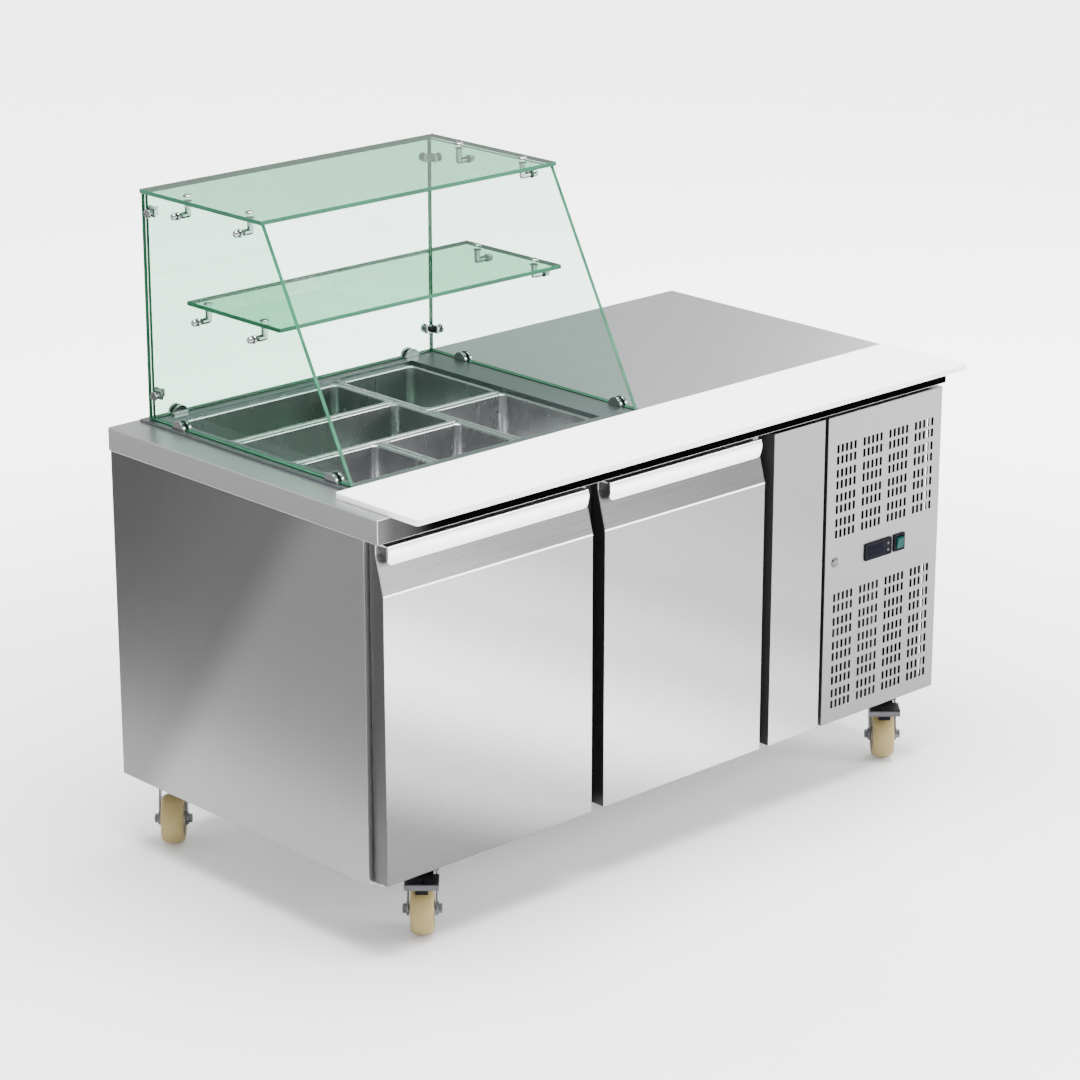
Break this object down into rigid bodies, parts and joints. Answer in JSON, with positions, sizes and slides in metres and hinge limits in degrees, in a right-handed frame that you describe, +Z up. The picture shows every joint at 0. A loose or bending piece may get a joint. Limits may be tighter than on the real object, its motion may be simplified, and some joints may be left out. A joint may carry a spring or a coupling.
{
  "type": "sandwich prep table",
  "caption": "Refrigerated sandwich preparation counter on castors with hinged doors, a pan well under a glass display, a cutting board and a grilled machine compartment.",
  "frame": {"origin": "middle of the outline, on the floor under the castors", "axes": "+X to the right along the front as the user faces it, +Y from the front to the back, +Z up"},
  "size_m": [1.51, 0.851, 1.304],
  "materials": {
    "brushed_side": "brushed, slightly darker",
    "brushed_front": "brushed",
    "brushed_cover": "brushed",
    "worktop_steel": "brushed, bright",
    "well_steel": "brushed, satin",
    "handle_steel": "polished",
    "pan_steel": "satin",
    "liner_steel": "satin",
    "door_liner": "moulded white liner",
    "galvanised": "galvanised",
    "foam": "rigid foam",
    "dark_frame": "dark grey",
    "glass": "clear with green edges",
    "clamp_chrome": "polished",
    "lock_chrome": "polished",
    "black_enamel": "black enamel",
    "coil_aluminium": "plain",
    "fan_plastic": "moulded",
    "white_plastic": "moulded",
    "wire_coating": "plastic coated wire",
    "gasket_rubber": "soft",
    "black_plastic": "semi gloss",
    "key_plastic": "moulded",
    "green_plastic": "translucent green",
    "board_polymer": "smooth white polyethylene",
    "castor_zinc": "zinc plated",
    "pedal_steel": "zinc plated",
    "wheel_tread": "cream polyurethane tread"
  },
  "bodies": {
    "cabinet": {"left_side_panel": "brushed_side", "right_side_panel": "brushed_side", "back_panel": "brushed_side", "base_plate": "galvanised", "cabinet_foam": "foam", "cabinet_liner": "liner_steel", "front_frame": "dark_frame", "filler_panel": "brushed_front", "hinge_brackets": "galvanised", "worktop": "worktop_steel", "well_frame": "well_steel", "left_glass": "glass", "right_glass": "glass", "back_glass": "glass", "top_glass": "glass", "glass_shelf": "glass", "base_clamps": "clamp_chrome", "corner_clips": "clamp_chrome", "pane_clamps": "clamp_chrome", "compressor": "black_enamel", "condenser_coil": "coil_aluminium", "evaporator_coil": "white_plastic", "shelf_rails": "liner_steel", "castor_plates": "castor_zinc"},
    "left_door": {"left_door_skin": "brushed_front", "left_door_core": "door_liner", "left_door_gasket": "gasket_rubber", "left_door_handle": "handle_steel"},
    "right_door": {"right_door_skin": "brushed_front", "right_door_core": "door_liner", "right_door_gasket": "gasket_rubber", "right_door_handle": "handle_steel"},
    "cover": {"grille_cover": "brushed_cover", "controller": "black_plastic", "rocker_housing": "black_plastic"},
    "lock": {"panel_lock": "lock_chrome"},
    "set_button": {"set_key": "key_plastic"},
    "step_button": {"step_key": "key_plastic"},
    "rocker": {"rocker_switch": "green_plastic"},
    "condenser_rotor": {"condenser_fan": "fan_plastic"},
    "evaporator_rotor": {"evaporator_fan": "fan_plastic"},
    "left_shelf": {"left_wire_shelf": "wire_coating"},
    "right_shelf": {"right_wire_shelf": "wire_coating"},
    "board": {"cutting_board": "board_polymer"},
    "rear_wide_pan_body": {"rear_wide_pan": "pan_steel"},
    "middle_wide_pan_body": {"middle_wide_pan": "pan_steel"},
    "front_left_pan_body": {"front_left_pan": "pan_steel"},
    "front_middle_pan_body": {"front_middle_pan": "pan_steel"},
    "rear_right_pan_body": {"rear_right_pan": "pan_steel"},
    "front_right_pan_body": {"front_right_pan": "pan_steel"},
    "front_left_swivel": {"front_left_fork": "castor_zinc"},
    "front_left_roller": {"front_left_wheel": "wheel_tread"},
    "front_right_swivel": {"front_right_fork": "castor_zinc"},
    "front_right_roller": {"front_right_wheel": "wheel_tread"},
    "rear_left_swivel": {"rear_left_fork": "castor_zinc"},
    "rear_left_roller": {"rear_left_wheel": "wheel_tread"},
    "rear_right_swivel": {"rear_right_fork": "castor_zinc"},
    "rear_right_roller": {"rear_right_wheel": "wheel_tread"},
    "front_left_brake": {"front_left_pedal": "pedal_steel"},
    "front_right_brake": {"front_right_pedal": "pedal_steel"}
  },
  "joints": [
    {"name": "left_door_hinge", "type": "hinge", "parent": "cabinet", "child": "left_door", "pos_m": [-0.732, -0.3215, 0.152], "axis": [0, 0, 1], "range_deg": [-90, 0], "stiffness_Nm_per_rad": 1.5, "springref_deg": 28.65},
    {"name": "right_door_hinge", "type": "hinge", "parent": "cabinet", "child": "right_door", "pos_m": [0.223, -0.3215, 0.152], "axis": [0, 0, 1], "range_deg": [0, 90], "stiffness_Nm_per_rad": 1.5, "springref_deg": -28.65},
    {"name": "cover_hinge", "type": "hinge", "parent": "cabinet", "child": "cover", "pos_m": [0.742, -0.3215, 0.152], "axis": [0, 0, 1], "range_deg": [0, 90]},
    {"name": "lock_turn", "type": "hinge", "parent": "cover", "child": "lock", "pos_m": [0.439, -0.3495, 0.49385], "axis": [0, 1, 0], "range_deg": [-90, 0]},
    {"name": "set_key_press", "type": "slide", "parent": "cover", "child": "set_button", "axis": [0, 1, 0], "range_m": [0, 0.001], "stiffness_N_per_m": 400, "springref_m": -0.0005},
    {"name": "step_key_press", "type": "slide", "parent": "cover", "child": "step_button", "axis": [0, 1, 0], "range_m": [0, 0.001], "stiffness_N_per_m": 400, "springref_m": -0.0005},
    {"name": "rocker_tilt", "type": "hinge", "parent": "cover", "child": "rocker", "pos_m": [0.629, -0.3485, 0.49385], "axis": [1, 0, 0], "range_deg": [-18, 0]},
    {"name": "condenser_fan_spin", "type": "hinge", "parent": "cabinet", "child": "condenser_rotor", "pos_m": [0.543, -0.2175, 0.289], "axis": [0, 1, 0], "continuous": true},
    {"name": "evaporator_fan_spin", "type": "hinge", "parent": "cabinet", "child": "evaporator_rotor", "pos_m": [0.1188, 0.0855, 0.609], "axis": [1, 0, 0], "continuous": true},
    {"name": "left_shelf_lift", "type": "slide", "parent": "cabinet", "child": "left_shelf", "axis": [0, 0, 1], "range_m": [0, 0.05]},
    {"name": "right_shelf_lift", "type": "slide", "parent": "cabinet", "child": "right_shelf", "axis": [0, 0, 1], "range_m": [0, 0.05]},
    {"name": "board_lift", "type": "slide", "parent": "cabinet", "child": "board", "axis": [0, 0, 1], "range_m": [0, 0.08]},
    {"name": "rear_wide_pan_lift", "type": "slide", "parent": "cabinet", "child": "rear_wide_pan_body", "axis": [0, 0, 1], "range_m": [0, 0.12]},
    {"name": "middle_wide_pan_lift", "type": "slide", "parent": "cabinet", "child": "middle_wide_pan_body", "axis": [0, 0, 1], "range_m": [0, 0.12]},
    {"name": "front_left_pan_lift", "type": "slide", "parent": "cabinet", "child": "front_left_pan_body", "axis": [0, 0, 1], "range_m": [0, 0.12]},
    {"name": "front_middle_pan_lift", "type": "slide", "parent": "cabinet", "child": "front_middle_pan_body", "axis": [0, 0, 1], "range_m": [0, 0.12]},
    {"name": "rear_right_pan_lift", "type": "slide", "parent": "cabinet", "child": "rear_right_pan_body", "axis": [0, 0, 1], "range_m": [0, 0.12]},
    {"name": "front_right_pan_lift", "type": "slide", "parent": "cabinet", "child": "front_right_pan_body", "axis": [0, 0, 1], "range_m": [0, 0.12]},
    {"name": "front_left_swivel_turn", "type": "hinge", "parent": "cabinet", "child": "front_left_swivel", "pos_m": [-0.585, -0.2675, 0.136], "axis": [0, 0, 1], "continuous": true},
    {"name": "front_left_wheel_roll", "type": "hinge", "parent": "front_left_swivel", "child": "front_left_roller", "pos_m": [-0.60546, -0.28944, 0.05], "axis": [0.7314, -0.682, 0], "continuous": true},
    {"name": "front_left_brake_press", "type": "hinge", "parent": "front_left_swivel", "child": "front_left_brake", "pos_m": [-0.58636, -0.26896, 0.116], "axis": [0.7314, -0.682, 0], "range_deg": [0, 4]},
    {"name": "front_right_swivel_turn", "type": "hinge", "parent": "cabinet", "child": "front_right_swivel", "pos_m": [0.688, -0.2675, 0.136], "axis": [0, 0, 1], "continuous": true},
    {"name": "front_right_wheel_roll", "type": "hinge", "parent": "front_right_swivel", "child": "front_right_roller", "pos_m": [0.66754, -0.28944, 0.05], "axis": [0.7314, -0.682, 0], "continuous": true},
    {"name": "front_right_brake_press", "type": "hinge", "parent": "front_right_swivel", "child": "front_right_brake", "pos_m": [0.68664, -0.26896, 0.116], "axis": [0.7314, -0.682, 0], "range_deg": [0, 4]},
    {"name": "rear_left_swivel_turn", "type": "hinge", "parent": "cabinet", "child": "rear_left_swivel", "pos_m": [-0.66, 0.3835, 0.136], "axis": [0, 0, 1], "continuous": true},
    {"name": "rear_left_wheel_roll", "type": "hinge", "parent": "rear_left_swivel", "child": "rear_left_roller", "pos_m": [-0.68046, 0.36156, 0.05], "axis": [0.7314, -0.682, 0], "continuous": true},
    {"name": "rear_right_swivel_turn", "type": "hinge", "parent": "cabinet", "child": "rear_right_swivel", "pos_m": [0.688, 0.3835, 0.136], "axis": [0, 0, 1], "continuous": true},
    {"name": "rear_right_wheel_roll", "type": "hinge", "parent": "rear_right_swivel", "child": "rear_right_roller", "pos_m": [0.66754, 0.36156, 0.05], "axis": [0.7314, -0.682, 0], "continuous": true}
  ]
}
